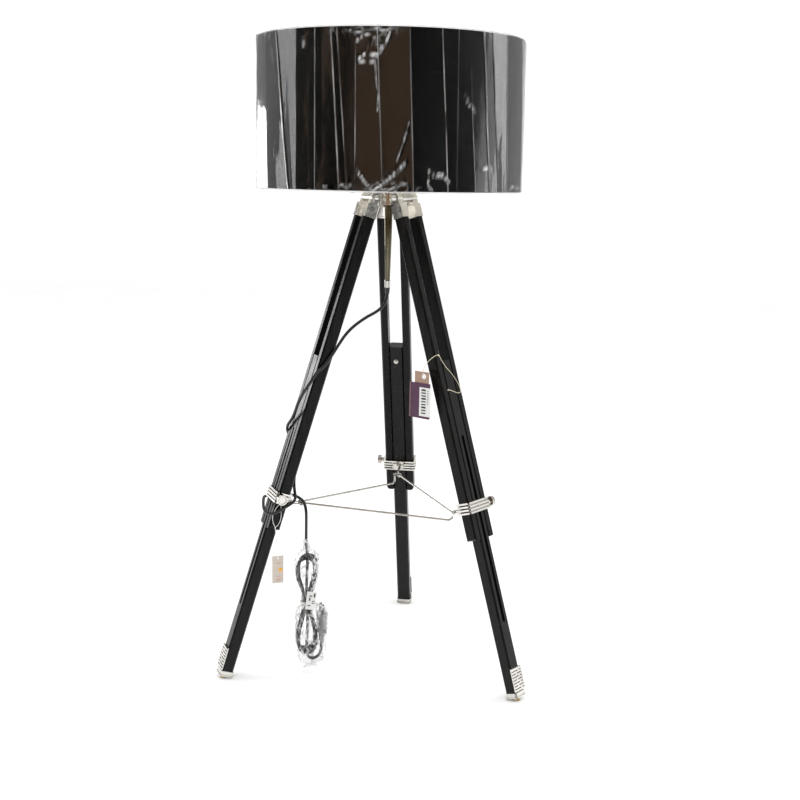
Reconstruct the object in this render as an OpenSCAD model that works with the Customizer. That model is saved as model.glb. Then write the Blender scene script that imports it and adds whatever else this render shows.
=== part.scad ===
// Tripod floor lamp: a drum shade on a harp, a chrome hub, three folding legs
// with sliding lower legs, ribbed clamps and spreader rods.
// Millimetres. The tripod's axis is upright, and z = 0 is the floor.

/* [Shade] */
// Outside diameter of the drum shade
shade_d = 508; // [480:1:520]
// Height of the drum shade
shade_h = 279; // [270:1:290]
// Height of the shade's lower rim above the floor
shade_z = 960; // [958:1:966]
// Wall of the drum shade
shade_wall = 1.4; // [1:0.1:2]
// Wire radius of the shade's rings and spider
frame_wire_r = 2; // [1.5:0.1:2.5]

/* [Tripod] */
// Height of the leg hinges above the floor
hinge_z = 945; // [940:1:950]
// Distance of each leg hinge from the tripod's axis
hinge_r = 38; // [37:0.5:40]
// Angle of each leg from the upright
splay = 17.5; // [16.5:0.5:18.5]
// Radius of the hinge bolts
bolt_r = 3; // [2.5:0.1:3.5]

/* [Legs] */
// Thickness of the rails and the lower leg, inside to outside
leg_thick = 24; // [22:0.5:26]
// Width of one rail
rail_w = 15.5; // [14:0.5:16]
// Width of the lower leg
lower_w = 29; // [27:0.5:30]
// Gap between the lower leg and each rail
slide_gap = 0.3; // [0.25:0.05:0.5]
// Distance from the hinge to the lower end of the rails
rail_end = 674; // [660:1:690]
// Distance from the hinge to the top of the lower leg
lower_top = 324; // [300:1:340]
// Distance from the hinge to the middle of the clamp
clamp_s = 610; // [605:1:615]
// Chamfer on the long edges
edge = 3; // [2:0.5:4]

/* [Clamps and rods] */
// Height of the ribbed clamp band along the leg
band_h = 22; // [20:0.5:24]
// Number of ribs on the band
band_ribs = 4; // [3:1:5]
// Radius of the thumbscrew's knurled head
knob_r = 10; // [9:0.5:11]
// Wire radius of the spreader rods
rod_r = 2; // [1.8:0.1:2.2]

/* [Cord] */
// Radius of the cord
cord_r = 3; // [2.9:0.1:3.2]

/* [Hidden] */
$fn = 48;

// Directions of the three legs, anticlockwise from +X
az_right = -30;
az_back = 90;
az_left = 210;

fit = 0.05;          // running clearance on a radius
ball_over = 0.08;    // how far a ball at a wire's bend stands proud of the wire
gap = 0.3;           // clearance between faces of different pieces

// The object's box is centred on the origin. The back foot reaches further
// than the shade, so the tripod's axis stands a little in front of it.
film_gap = 0.3;
film_wall = 0.9;
film_r = shade_d / 2 + film_gap + film_wall;
leg_len = hinge_z / cos(splay);
plate_top = 928;
plate_len = 45;
cap_s = 975;
cap_end = 985;
cap_wall = 1.4;
foot_reach = hinge_r + cap_end * sin(splay) + (leg_thick / 2 + 1.5 * cap_wall) * cos(splay);
axis_y = -(foot_reach - film_r) / 2;

// A leg's frame: origin on its hinge, X outward, Y along the hinge, Z up the leg
module leg_frame(az) {
    translate([0, axis_y, 0])
        rotate([0, 0, az])
            translate([hinge_r, 0, hinge_z])
                rotate([0, -splay, 0])
                    children();
}

module on_axis(z = 0) {
    translate([0, axis_y, z]) children();
}

// Point at distance s down a leg, t along its hinge and n outward of its middle
function leg_pt(az, s, t, n) =
    axis_pt(az, hinge_r + s * sin(splay) + n * cos(splay), t,
            hinge_z - s * cos(splay) + n * sin(splay));

// Point at radius r towards a leg, t across it, and height z
function axis_pt(az, r, t, z) =
    [r * cos(az) - t * sin(az), r * sin(az) + t * cos(az) + axis_y, z];

// ---- Shared shapes ----

module chrome() { color("silver") children(); }
module black_wood() { color("#1c1c1c") children(); }
module black_rubber() { color("#222222") children(); }
module steel_wire() { color("gainsboro") children(); }

// Rectangle a by b with chamfers: near corners c1, corners at +Y c2
module chamfered(a, b, c1, c2) {
    polygon([
        [-a / 2 + c1, -b / 2], [a / 2 - c1, -b / 2], [a / 2, -b / 2 + c1],
        [a / 2, b / 2 - c2], [a / 2 - c2, b / 2], [-a / 2 + c2, b / 2],
        [-a / 2, b / 2 - c2], [-a / 2, -b / 2 + c1]
    ]);
}

// Rectangle a by b with round corners of radius r
module round_rect(a, b, r) {
    square([a - 2 * r, b], center = true);
    square([a, b - 2 * r], center = true);
    for (x = [-1, 1], y = [-1, 1])
        translate([x * (a / 2 - r), y * (b / 2 - r)]) circle(r);
}

// Ring of round wire, standing on the Z axis
module wire_ring(mean_r, wire_r) {
    rotate_extrude() translate([mean_r, 0]) circle(wire_r);
}

// Cylinder of radius r from one point to another
module bar(p, q, r) {
    d = q - p;
    len = norm(d);
    translate(p)
        rotate([0, acos(d.z / len), atan2(d.y, d.x)])
            cylinder(h = len, r = r);
}

// Tube along the Y axis direction: a plug of radius r from y1 to y2
module y_cyl(r, y1, y2) {
    translate([0, y1, 0]) rotate([-90, 0, 0]) cylinder(h = y2 - y1, r = r);
}

// ---- Tube along a route ----

function unit(v) = v / norm(v);
function tangent(p, i) =
    i == 0 ? unit(p[1] - p[0])
    : i == len(p) - 1 ? unit(p[i] - p[i - 1])
    : unit(p[i + 1] - p[i - 1]);
function carry(n, t) = unit(n - (n * t) * t);
// Normals carried along the route with no twist
function normals(p, i, n) =
    i == len(p) ? [] :
    let (m = carry(n, tangent(p, i)))
    concat([m], normals(p, i + 1, m));

// Smooth curve through the points, with k steps between neighbours
function spline_at(a, b, c, d, u) =
    0.5 * ((2 * b) + (c - a) * u + (2 * a - 5 * b + 4 * c - d) * u * u
           + (3 * b - a - 3 * c + d) * u * u * u);
function smooth_route(p, k) = [
    for (i = [0 : len(p) - 2], j = [0 : k - 1])
        let (a = p[max(i - 1, 0)], b = p[i], c = p[i + 1], d = p[min(i + 2, len(p) - 1)])
        spline_at(a, b, c, d, j / k),
    p[len(p) - 1]
];

module tube(p, r, sides, up) {
    n = normals(p, 0, up);
    pts = [
        for (i = [0 : len(p) - 1])
            let (t = tangent(p, i), m = n[i], b = cross(t, m))
            for (k = [0 : sides - 1])
                p[i] + r * (cos(k * 360 / sides) * m + sin(k * 360 / sides) * b)
    ];
    last = (len(p) - 1) * sides;
    faces = concat(
        [[for (k = [0 : sides - 1]) k]],
        [for (i = [0 : len(p) - 2], k = [0 : sides - 1])
            let (a = i * sides + k, b = i * sides + (k + 1) % sides)
            [a, a + sides, b + sides, b]],
        [[for (k = [sides - 1 : -1 : 0]) last + k]]
    );
    polyhedron(points = pts, faces = faces, convexity = 6);
}

// ---- Hub and stem ----

hub_bottom = 930;
hub_top = 956;
hub_core_r = 22;
lug_r = 9.5;
lug_half = 14.5;
lug_root = 16;
riser_bore_r = 3.6;
nipple_r = 5;
nipple_seat_z = 941;

module hub() {
    chrome() difference() {
        union() {
            on_axis(hub_bottom) cylinder(h = hub_top - hub_bottom, r = hub_core_r);
            on_axis(hub_top - 4) cylinder(h = 4, r = hub_core_r + 3);
            for (az = [az_right, az_back, az_left])
                translate([0, axis_y, hinge_z]) rotate([0, 0, az]) {
                    translate([hinge_r, 0, 0]) y_cyl(lug_r, -lug_half, lug_half);
                    translate([lug_root, -lug_half + 2, -lug_r + 3])
                        cube([hinge_r - lug_root, 2 * lug_half - 4, 2 * lug_r - 6]);
                }
        }
        on_axis(hub_bottom - 1) cylinder(h = 40, r = riser_bore_r);
        on_axis(nipple_seat_z) cylinder(h = 30, r = nipple_r + fit);
        for (az = [az_right, az_back, az_left])
            translate([0, axis_y, hinge_z]) rotate([0, 0, az])
                translate([hinge_r, 0, 0]) y_cyl(bolt_r + fit, -40, 40);
    }
}

ear_in = 15;
ear_out = 30;
nut_af = 6;

module hinge_bolts() {
    chrome() for (az = [az_right, az_back, az_left])
        translate([0, axis_y, hinge_z]) rotate([0, 0, az]) translate([hinge_r, 0, 0]) {
            y_cyl(bolt_r, -ear_out - 0.2, ear_out + 5.5);
            y_cyl(6.2, -ear_out - 2.4, -ear_out - 0.2);
            intersection() {
                translate([0, -ear_out - 0.2, 0]) sphere(6.4);
                y_cyl(7, -ear_out - 7, -ear_out - 2.4);
            }
        }
}

module hinge_nuts() {
    chrome() for (az = [az_right, az_back, az_left])
        translate([0, axis_y, hinge_z]) rotate([0, 0, az]) translate([hinge_r, ear_out + 0.2, 0])
            difference() {
                union() {
                    rotate([-90, 0, 0]) cylinder(h = 4.5, r = nut_af + 0.6, $fn = 6);
                    intersection() {
                        translate([0, 3, 0]) sphere(5.4);
                        y_cyl(nut_af, 4.5, 9);
                    }
                }
                y_cyl(bolt_r + fit, -1, 5.6);
            }
}

stem_bottom = 784;
stem_top_r = 8.3;
stem_bottom_r = 4.9;

module stem() {
    chrome() on_axis() rotate_extrude() polygon([
        [riser_bore_r, hub_bottom], [12, hub_bottom], [12, hub_bottom - 3],
        [stem_top_r, hub_bottom - 5], [stem_bottom_r, stem_bottom],
        [riser_bore_r, stem_bottom]
    ]);
}

stem_ferrule_bottom = 769;
grommet_r = 4.4;
grommet_top = 778;
grommet_bottom = 756;
riser_bottom = 764;

module stem_ferrule() {
    chrome() on_axis() difference() {
        rotate_extrude() polygon([
            [0, stem_bottom], [5.6, stem_bottom], [6, stem_bottom - 2],
            [5.6, stem_ferrule_bottom], [0, stem_ferrule_bottom]
        ]);
        translate([0, 0, stem_ferrule_bottom - 1])
            cylinder(h = 1 + grommet_top - stem_ferrule_bottom, r = grommet_r);
        translate([0, 0, stem_ferrule_bottom - 1]) cylinder(h = 30, r = riser_bore_r);
    }
}

// Tapered grommet that the cord leaves the stem through
module cord_grommet() {
    black_rubber() on_axis() rotate_extrude() polygon([
        [cord_r + fit, grommet_top], [grommet_r, grommet_top],
        [grommet_r, stem_ferrule_bottom], [grommet_r + 0.8, stem_ferrule_bottom],
        [grommet_r + 0.6, stem_ferrule_bottom - 2.5], [cord_r + 0.7, grommet_bottom],
        [cord_r + fit, grommet_bottom]
    ]);
}

// ---- Neck, harp and socket ----

spacer_top = 988;
saddle_half = 27;
saddle_z = spacer_top + 0.1;
saddle_thick = 2;
cap_bottom = saddle_z + saddle_thick + 0.1;
nipple_top = cap_bottom + 8;

module neck_nipple() {
    steel_wire() on_axis() difference() {
        translate([0, 0, nipple_seat_z + 0.1])
            cylinder(h = nipple_top - nipple_seat_z - 0.1, r = nipple_r);
        translate([0, 0, nipple_seat_z - 1]) cylinder(h = 80, r = riser_bore_r);
    }
}

module neck_spacer() {
    chrome() on_axis() rotate_extrude() polygon([
        [nipple_r + fit, hub_top + 0.1], [13, hub_top + 0.1], [13, hub_top + 3],
        [9, hub_top + 7], [9, spacer_top - 4], [12, spacer_top - 1],
        [12, spacer_top], [nipple_r + fit, spacer_top]
    ]);
}

harp_wire = 1.7;
sleeve_top = 1004;

module harp_saddle() {
    chrome() on_axis() difference() {
        union() {
            translate([-saddle_half, -5, saddle_z])
                cube([2 * saddle_half, 10, saddle_thick]);
            translate([0, 0, saddle_z]) cylinder(h = saddle_thick, r = 9);
            for (x = [-1, 1]) translate([x * saddle_half, 0, saddle_z])
                cylinder(h = sleeve_top - saddle_z, r = 4.2);
        }
        cylinder(h = 2000, r = nipple_r + fit);
        for (x = [-1, 1]) translate([x * saddle_half, 0, saddle_z + 4])
            cylinder(h = 40, r = harp_wire + fit);
    }
}

harp_half = 56;
harp_shoulder = 1046;
harp_arc_z = 1163;
harp_seat_z = harp_arc_z + harp_half;
stud_r = 3.1;

module harp() {
    steel_wire() on_axis() {
        for (x = [-1, 1]) {
            bar([x * saddle_half, 0, saddle_z + 4.2], [x * saddle_half, 0, sleeve_top + 2], harp_wire);
            translate([x * saddle_half, 0, sleeve_top + 2]) sphere(harp_wire + ball_over);
            bar([x * saddle_half, 0, sleeve_top + 2], [x * harp_half, 0, harp_shoulder], harp_wire);
            translate([x * harp_half, 0, harp_shoulder]) sphere(harp_wire + ball_over);
            bar([x * harp_half, 0, harp_shoulder], [x * harp_half, 0, harp_arc_z], harp_wire);
            translate([x * harp_half, 0, harp_arc_z]) sphere(harp_wire + ball_over);
        }
        translate([0, 0, harp_arc_z]) rotate([90, 0, 0]) rotate_extrude(angle = 180)
            translate([harp_half, 0]) circle(harp_wire);
        translate([0, 0, harp_seat_z - 1]) cylinder(h = 3, r = 8);
        translate([0, 0, harp_seat_z]) cylinder(h = 14, r = stud_r);
    }
}

spider_z = harp_seat_z + 2.1;
washer_r = 11;
washer_thick = 2;

module finial() {
    chrome() on_axis(spider_z + washer_thick + 0.1) difference() {
        rotate_extrude() polygon(concat(
            [[0, 0], [8, 0], [8, 3], [4, 6]],
            [for (a = [-50 : 10 : 90]) [7.5 * cos(a), 12.5 + 7.5 * sin(a)]]
        ));
        translate([0, 0, -1]) cylinder(h = 12, r = stud_r + fit);
    }
}

cap_r = 16;
cap_top = cap_bottom + 22;
shell_top = cap_bottom + 56;
switch_z = cap_bottom + 34;

module socket_cap() {
    chrome() on_axis() difference() {
        rotate_extrude() polygon([
            [0, cap_bottom], [9, cap_bottom], [cap_r, cap_bottom + 9],
            [cap_r, cap_top], [cap_r - 1.2, cap_top], [cap_r - 1.2, cap_bottom + 10],
            [8.4, cap_bottom + 2], [0, cap_bottom + 2]
        ]);
        cylinder(h = 2000, r = nipple_r + fit);
    }
}

module socket_shell() {
    color("#2a2a2a") on_axis() difference() {
        rotate_extrude() polygon([
            [0, cap_top + 0.1], [cap_r, cap_top + 0.1], [cap_r, shell_top],
            [14.2, shell_top], [14.2, cap_top + 16], [0, cap_top + 16]
        ]);
        translate([0, 0, switch_z]) y_cyl(1.6 + fit, -30, -6);
        translate([0, 0, cap_top]) cylinder(h = 6, r = riser_bore_r);
    }
}

module switch_knob() {
    black_rubber() on_axis(switch_z) union() {
        y_cyl(1.6, -cap_r - 6, -7);
        difference() {
            y_cyl(6, -cap_r - 17, -cap_r - 6);
            for (a = [0 : 45 : 315]) rotate([0, a, 0])
                translate([6.6, 0, 0]) y_cyl(1.2, -cap_r - 18, -cap_r - 8);
        }
    }
}

bulb_r = 30;
bulb_base_z = cap_top + 16.2;
glass_z = shell_top + 2;
bulb_mid_z = glass_z + 66;

module bulb_base() {
    steel_wire() on_axis() rotate_extrude() polygon(concat(
        [[0, bulb_base_z], [5, bulb_base_z], [5, bulb_base_z + 1.5]],
        [for (i = [0 : 5]) each [[12.6, bulb_base_z + 3 + 2.6 * i], [13.4, bulb_base_z + 4.3 + 2.6 * i]]],
        [[13.2, glass_z], [0, glass_z]]
    ));
}

module bulb_glass() {
    color("white") on_axis() rotate_extrude() polygon(concat(
        [[0, glass_z + 0.1], [13.2, glass_z + 0.1], [15, glass_z + 14]],
        [for (a = [-50 : 10 : 90]) [bulb_r * cos(a), bulb_mid_z + bulb_r * sin(a)]]
    ));
}

// ---- Shade ----

shade_r = shade_d / 2;
shade_in = shade_r - shade_wall;
shade_top = shade_z + shade_h;
ring_mean = shade_in - frame_wire_r - fit;

module shade_drum() {
    color("#101010") on_axis(shade_z) difference() {
        cylinder(h = shade_h, r = shade_r, $fn = 128);
        translate([0, 0, -1]) cylinder(h = shade_h + 2, r = shade_in, $fn = 128);
    }
}

module shade_top_frame() {
    steel_wire() on_axis() {
        translate([0, 0, shade_top - 4]) wire_ring(ring_mean, frame_wire_r);
        for (a = [60 : 120 : 300]) rotate([0, 0, a])
            bar([washer_r - 2, 0, spider_z + 1], [ring_mean, 0, shade_top - 4], frame_wire_r * 0.7);
        translate([0, 0, spider_z]) difference() {
            cylinder(h = washer_thick, r = washer_r);
            translate([0, 0, -1]) cylinder(h = washer_thick + 2, r = stud_r + 0.1);
        }
    }
}

module shade_bottom_ring() {
    steel_wire() on_axis(shade_z + 4) wire_ring(ring_mean, frame_wire_r);
}

module shade_film() {
    color("#3a3a3a") on_axis(shade_z - 0.8) difference() {
        cylinder(h = shade_h + 1.6, r = film_r, $fn = 128);
        translate([0, 0, -1]) cylinder(h = shade_h + 4, r = shade_r + film_gap, $fn = 128);
    }
}

// ---- Legs ----

rail_mid = lower_w / 2 + slide_gap + rail_w / 2;
rail_edge = rail_mid + rail_w / 2;
rail_top = 17;
end_round = 8;

module rail(side) {
    difference() {
        translate([0, side * rail_mid, -rail_end]) linear_extrude(rail_end - rail_top)
            mirror([0, side < 0 ? 1 : 0]) chamfered(leg_thick, rail_w, 1, edge);
        // The outer bottom corner is rounded off
        translate([-leg_thick, side * (rail_edge - end_round), -rail_end + end_round])
            rotate([0, 90, 0]) difference() {
                translate([0, side > 0 ? 0 : -end_round - 1, 0])
                    cube([end_round + 1, end_round + 1, 2 * leg_thick]);
                cylinder(h = 2 * leg_thick, r = end_round);
            }
    }
}

module rails(az) {
    black_wood() leg_frame(az) {
        rail(1);
        rail(-1);
    }
}

ferrule_bottom = 40;
ferrule_wall = 0.9;

// Chrome cap on the top of a rail, with the hinge ear on it
module ferrule(side) {
    difference() {
        union() {
            translate([0, side * rail_mid, -ferrule_bottom])
                linear_extrude(ferrule_bottom - rail_top + 3)
                    chamfered(leg_thick + 2 * ferrule_wall, rail_w + 2 * ferrule_wall, 1.5, 1.5);
            translate([0, side * rail_mid, -ferrule_bottom])
                linear_extrude(2.5)
                    chamfered(leg_thick + 4 * ferrule_wall, rail_w + 3.4 * ferrule_wall, 2, 2);
            translate([0, side * (ear_in + ear_out) / 2, 0])
                y_cyl(9, (ear_in - ear_out) / 2, (ear_out - ear_in) / 2);
            translate([-8, side > 0 ? ear_in : -ear_out, -rail_top + 2])
                cube([16, ear_out - ear_in, rail_top - 2]);
        }
        translate([0, side * rail_mid, -ferrule_bottom - 1])
            linear_extrude(ferrule_bottom - rail_top + 1)
                chamfered(leg_thick + 0.1, rail_w + 0.1, 0.9, 0.9);
        y_cyl(bolt_r + fit, -40, 40);
        // Seat of the screw that holds the rail
        translate([0, side * (rail_edge + 2.4), -30]) rotate([side * 90, 0, 0])
            cylinder(h = 1.8, r = 2.6);
    }
}

module ferrules(az) {
    chrome() leg_frame(az) {
        ferrule(1);
        ferrule(-1);
    }
}

lower_end = 982;
groove_top = 471;
groove_bottom = 839;
groove_r = 4;
groove_deep = 5;
stop_s = lower_top + 33;
stop_shank_r = 2;

module lower_leg(az) {
    black_wood() leg_frame(az) difference() {
        translate([0, 0, -lower_end]) linear_extrude(lower_end - lower_top)
            chamfered(leg_thick, lower_w, edge, edge);
        translate([leg_thick / 2 - groove_deep, 0, 0]) {
            translate([0, -groove_r, -groove_bottom + groove_r])
                cube([20, 2 * groove_r, groove_bottom - groove_top - 2 * groove_r]);
            for (s = [groove_top + groove_r, groove_bottom - groove_r])
                translate([0, 0, -s]) rotate([0, 90, 0]) cylinder(h = 20, r = groove_r);
        }
        translate([-leg_thick / 2 - 1, 0, -stop_s]) rotate([0, 90, 0])
            cylinder(h = 13, r = stop_shank_r + fit);
    }
}

module stop_screw(az) {
    chrome() leg_frame(az) translate([-leg_thick / 2, 0, -stop_s]) rotate([0, -90, 0]) {
        translate([0, 0, -11]) cylinder(h = 11.5, r = stop_shank_r);
        translate([0, 0, 0.1]) cylinder(h = 1.2, r = 4.6);
        difference() {
            translate([0, 0, 1.2]) cylinder(h = 3.2, r1 = 3.6, r2 = 3);
            translate([-5, -0.5, 3.4]) cube([10, 1, 3]);
        }
    }
}

module foot_cap(az) {
    chrome() leg_frame(az) difference() {
        union() {
            translate([0, 0, -cap_end]) linear_extrude(cap_end - cap_s)
                chamfered(leg_thick + 2 * cap_wall, lower_w + 2 * cap_wall, edge, edge);
            translate([0, 0, -cap_end]) linear_extrude(2.5)
                chamfered(leg_thick + 3 * cap_wall, lower_w + 3 * cap_wall, edge, edge);
        }
        translate([0, 0, -lower_end - 0.1]) linear_extrude(40)
            chamfered(leg_thick + 0.1, lower_w + 0.1, edge, edge);
    }
}

glide_r = 7;

// Glide under the cap, cut level with the floor
module glide(az) {
    color("#b8a070") intersection() {
        leg_frame(az) translate([0, 0, -leg_len - 6])
            cylinder(h = leg_len + 6 - cap_end - 0.05, r = glide_r);
        translate([-600, -600, 0]) cube([1200, 1200, 60]);
    }
}

plate_w = 32;
plate_ribs = 8;

// Ribbed chrome plate on the outer face, above the foot cap
module foot_plate(az) {
    pitch = plate_len / plate_ribs;
    chrome() leg_frame(az) translate([leg_thick / 2 + 0.05, 0, -plate_top - plate_len]) {
        translate([0, -plate_w / 2, 0]) cube([2, plate_w, plate_len]);
        for (i = [0 : plate_ribs - 1]) {
            translate([2, -plate_w / 2, i * pitch + 1]) cube([1.8, plate_w, pitch - 2]);
            // Short bridge that steps from one rib to the next
            if (i < plate_ribs - 1)
                translate([2, (i % 2 == 0 ? 2 : -6), i * pitch + pitch - 1.1]) cube([1.8, 4, 2.2]);
        }
    }
}

// ---- Clamps ----

band_in_n = leg_thick / 2 + gap;
band_in_t = rail_edge + gap;
band_wall = 4;
rib_h = 3.4;
boss_t = 38;
thumb_n = 8;
thumb_r = 3;
eye_s = 616;
eye_n = -41;
eye_mean = 8.5;
eye_wire = 1.2;
eye_shank = 1.8;
collar_r = 3.4;

module band_outline(wall, r) {
    difference() {
        round_rect(2 * (band_in_n + wall), 2 * (band_in_t + wall), r);
        square([2 * band_in_n, 2 * band_in_t], center = true);
    }
}

module clamp(az) {
    chrome() leg_frame(az) difference() {
        union() {
            for (i = [0 : band_ribs - 1])
                translate([0, 0, -clamp_s - band_h / 2 + i * (band_h - rib_h) / (band_ribs - 1)])
                    linear_extrude(rib_h) band_outline(band_wall, 4);
            // Backing strip behind the ribs on the outer face, and posts at the corners
            translate([band_in_n, -band_in_t, -clamp_s - band_h / 2])
                cube([1.8, 2 * band_in_t, band_h]);
            for (t = [-1, 1])
                translate([-band_in_n, t * (band_in_t + 1.1) - 1.1, -clamp_s - band_h / 2])
                    cube([5, 2.2, band_h]);
            // Boss of the thumbscrew
            translate([thumb_n, 0, -clamp_s]) y_cyl(6.5, band_in_t, boss_t);
            // Plate and medallion on the inner face
            translate([-band_in_n - 3.6, -9, -clamp_s - band_h / 2]) cube([3.6, 24, band_h]);
            translate([-band_in_n - 1, 7, -clamp_s]) rotate([0, -90, 0]) cylinder(h = 5.6, r1 = 9, r2 = 7);
            // Guide pin in the lower leg's groove
            translate([leg_thick / 2 - groove_deep + 1, 0, -clamp_s]) rotate([0, 90, 0])
                cylinder(h = groove_deep + 2, r = 2.5);
        }
        translate([thumb_n, 0, -clamp_s]) y_cyl(thumb_r + fit, band_in_t - 1, boss_t + 1);
        // Hole of the spreader eye, and room for its collar
        translate([-band_in_n - 3.6, 0, -eye_s]) rotate([0, -90, 0])
            cylinder(h = 30, r = collar_r + gap);
        translate([-band_in_n - 3.7, 0, -eye_s]) rotate([0, 90, 0])
            cylinder(h = 3.1, r = eye_shank + fit);
    }
}

knob_t = 42;
knob_h = 8;

module thumbscrew(az) {
    chrome() leg_frame(az) translate([thumb_n, 0, -clamp_s]) {
        y_cyl(thumb_r, rail_edge + 0.1, knob_t + 1);
        y_cyl(5, boss_t + 0.3, knob_t);
        difference() {
            y_cyl(knob_r, knob_t, knob_t + knob_h);
            y_cyl(knob_r - 2.2, knob_t + knob_h - 1.5, knob_t + knob_h + 1);
            for (a = [0 : 18 : 342]) rotate([0, a, 0])
                translate([knob_r + 0.5, 0, 0]) y_cyl(1.1, knob_t + 1, knob_t + knob_h - 1);
        }
    }
}

module eye(az) {
    steel_wire() leg_frame(az) {
        translate([eye_n, 0, -eye_s]) {
            rotate([0, splay, 0]) wire_ring(eye_mean, eye_wire);
            translate([eye_mean, 0, 0]) rotate([0, 90, 0])
                cylinder(h = -eye_n - eye_mean - band_in_n - 0.7, r = eye_shank);
        }
        translate([-band_in_n - 6, 0, -eye_s]) rotate([0, 90, 0]) cylinder(h = 2.3, r = collar_r);
    }
}

// ---- Spreader rods ----

eye_centre = leg_pt(0, eye_s, 0, eye_n) - [0, axis_y, 0];
eye_radius = eye_centre.x;
eye_z = eye_centre.z;
rod_span = eye_radius * sqrt(3) - 2 * eye_mean;
loop_mean = 3.8;
loop_wire = rod_r + 0.2;
low_slope = 3.5;
high_slope = 1.6;
rod_bend = 6;
hook_close = -eye_wire - 0.7;
hook_low = -10;

// Rod from the eye on one leg to the eye on the next one, clockwise (turn -1) or
// anticlockwise (turn 1). Its near end is a loop through the eye, and its far
// end is a hook under the other eye. Slope is the angle that it drops by, and tip_z
// the height of the hook's tip from the middle of the eye.
module rod(az, turn, slope, tip_z) {
    tip_x = rod_span - 1;
    low_z = -tan(slope) * (tip_x - rod_bend);
    knee = [[tip_x - rod_bend, 0, low_z], [tip_x, 0, low_z + rod_bend * 0.8]];
    steel_wire() translate([0, axis_y, 0]) rotate([0, 0, az]) translate([eye_radius, 0, eye_z])
        rotate([0, 0, turn * 150]) translate([eye_mean, 0, 0]) {
            difference() {
                rotate([90, 0, 0]) wire_ring(loop_mean, loop_wire);
                y_cyl(loop_mean - loop_wire + fit, -5, 5);
            }
            bar([loop_mean, 0, 0], knee[0], rod_r);
            bar(knee[0], knee[1], rod_r);
            bar(knee[1], [tip_x, 0, tip_z], rod_r);
            for (k = knee) translate(k) sphere(rod_r + ball_over);
        }
}

// ---- Cord ----

module cord_riser() {
    black_rubber() on_axis(riser_bottom)
        cylinder(h = cap_bottom + 6 - riser_bottom, r = cord_r);
}

// From the stem to the left leg: radius, offset across the leg, height
drape_points = [
    [0, 0, 764], [0, 0, 755], [3, 0, 742], [12, 2, 730], [26, 5, 721], [43, 9, 714],
    [61, 14, 705], [79, 19, 694], [96, 25, 680], [110, 32, 665], [126, 36, 644],
    [143, 36.5, 621]
];

// Round the left leg: distance down the leg, offset across it, outward
wrap_points = [
    [352, 36, 12], [370, 35, 17], [388, 33, 22], [406, 26, 25], [424, 15, 24], [441, 2, 20],
    [458, -12, 17], [475, -26, 17], [489, -35, 9], [502, -36, -4], [516, -32, -15],
    [532, -21, -20], [550, -10, -20], [570, -1, -20], [588, 8, -23], [601, 19, -26],
    [609, 32, -22], [616, 39, -13], [625, 39, -4], [635, 38, 5], [643, 33, 15],
    [645, 22, 23], [641, 9, 26], [634, -5, 25], [628, -20, 22], [625, -34, 17],
    [622, -40, 6], [618, -40, -8], [613, -34, -20], [608, -22, -28], [605, -8, -33],
    [604, 5, -37], [605, 18, -41], [609, 29, -45]
];

// Down to the hank: radius, offset across the leg, height
drop_points = [[177, 36, 336], [177, 37, 318], [177, 37, 298], [177, 37, 278], [177, 37, 262]];

wrap_leg = [for (p = wrap_points) leg_pt(az_left, p[0], p[1], p[2])];
// The drape ends along the wrap's own direction, so that their ends meet flat
wrap_dir = unit(wrap_leg[1] - wrap_leg[0]);
drape_route = smooth_route(concat(
    [for (p = drape_points) axis_pt(az_left, p[0], p[1], p[2])],
    [wrap_leg[0] - 8 * wrap_dir, wrap_leg[0] - 0.45 * wrap_dir]), 2);
wrap_route = smooth_route(concat(
    wrap_leg, [for (p = drop_points) axis_pt(az_left, p[0], p[1], p[2])]), 1);

module cord_drape() { black_rubber() tube(drape_route, cord_r, 8, [0, 1, 0]); }
module cord_wrap() { black_rubber() tube(wrap_route, cord_r, 8, [0, 1, 0]); }

hank_r = 175;
hank_t = 37;
hank_top = 262;
hank_bottom = 42;
hank_w = 42;
hank_front = 15;
hank_back = -13;

module at_left(r, t, z) {
    translate([0, axis_y, 0]) rotate([0, 0, az_left]) translate([r, t, z]) children();
}

module cord_hank() {
    black_rubber() at_left(hank_r, hank_t + hank_front, 0)
        rotate([90, 0, 0]) linear_extrude(hank_front - hank_back) {
            translate([-hank_w / 2, hank_bottom + hank_w / 2])
                square([hank_w, hank_top - hank_bottom - hank_w]);
            for (z = [hank_bottom + hank_w / 2, hank_top - hank_w / 2])
                translate([0, z]) circle(hank_w / 2);
        }
}

plug_r = 144;
plug_z = 84;
plug_len = 42;

// Two-blade plug beside the hank, blades up
module plug() {
    color("#8a8a8a") at_left(plug_r, hank_t, plug_z) difference() {
        union() {
            linear_extrude(plug_len - 12) round_rect(16, 24, 4);
            translate([0, 0, plug_len - 12]) linear_extrude(12) round_rect(17, 27, 4);
            translate([0, 0, -18]) cylinder(h = 18, r1 = 4.4, r2 = 6.5);
            for (t = [-6.35, 6.35]) translate([-3.2, t - 0.75, plug_len - 1]) cube([6.4, 1.5, 18]);
        }
        for (t = [-6.35, 6.35]) translate([0, t + 3, plug_len + 12]) rotate([90, 0, 0])
            cylinder(h = 6, r = 1.6);
    }
}

// ---- Tags ----

// Card and purple label card on a string over the right leg's near rail
module price_tag() {
    translate([0, axis_y, 0]) rotate([0, 0, az_right]) {
        color("#b08060") translate([128, -45, 0]) rotate([90, 0, 0]) linear_extrude(0.8, center = true)
            difference() {
                translate([-20, 590]) square([34, 30]);
                translate([2, 611]) circle(2.4);
            }
        color("#5a2b52") translate([121, -46.2, 564]) rotate([90, 0, 0])
            linear_extrude(0.8, center = true) round_rect(50, 68, 2);
    }
}

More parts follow.
